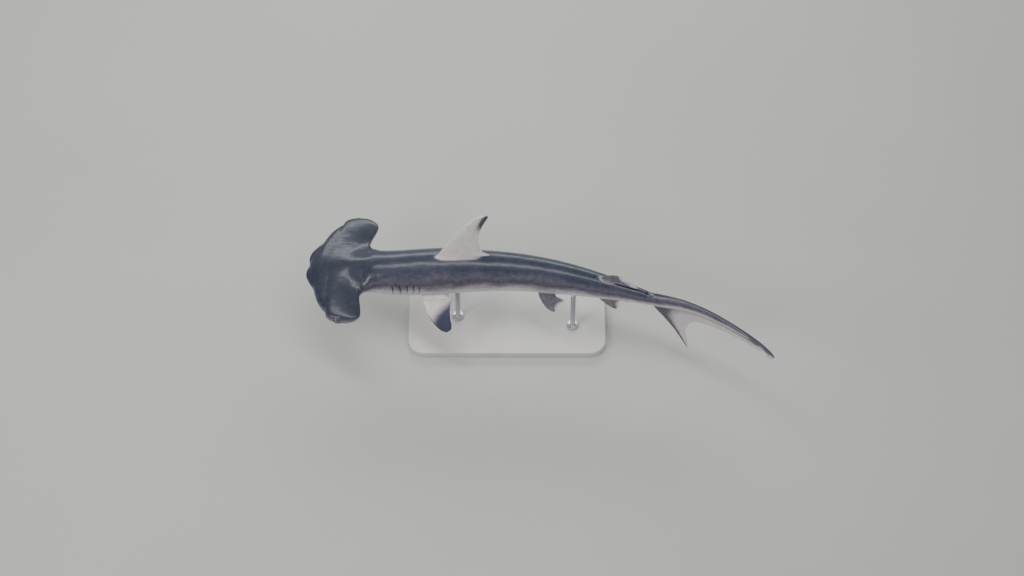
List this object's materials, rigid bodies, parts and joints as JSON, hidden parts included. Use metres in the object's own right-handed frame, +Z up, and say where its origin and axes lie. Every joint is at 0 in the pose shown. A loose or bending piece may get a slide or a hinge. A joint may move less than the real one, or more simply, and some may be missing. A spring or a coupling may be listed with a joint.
{
  "type": "hammerhead shark display model",
  "caption": "Life-size scalloped hammerhead shark in a swimming pose, with its tail bent to one side, held over a flat base by two rods.",
  "frame": {"origin": "centre of the underside of the stand's base", "axes": "+Z up; the head points to -X and the tail trails to +X; the shark's left side faces -Y"},
  "size_m": [1.0974, 0.4833, 0.421],
  "materials": {
    "skin": "wet satin, slate back fading to a pale belly",
    "fin_skin": "wet satin, pale with dusky tips",
    "eye": "polished",
    "base": "satin pale paint",
    "rod": "brushed"
  },
  "bodies": {
    "root": {"head": "skin", "gill_region": "skin", "torso": "skin", "tail_stock": "skin", "tail_fin_upper_lobe": "skin", "tail_fin_lower_lobe": "skin", "first_dorsal_fin": "fin_skin", "second_dorsal_fin": "fin_skin", "anal_fin": "fin_skin", "pectoral_fin_left": "fin_skin", "pectoral_fin_right": "fin_skin", "pelvic_fin_left": "fin_skin", "pelvic_fin_right": "fin_skin", "eye_left": "eye", "eye_right": "eye", "stand_base": "base", "stand_rod_front": "rod", "stand_rod_rear": "rod"}
  },
  "joints": []
}
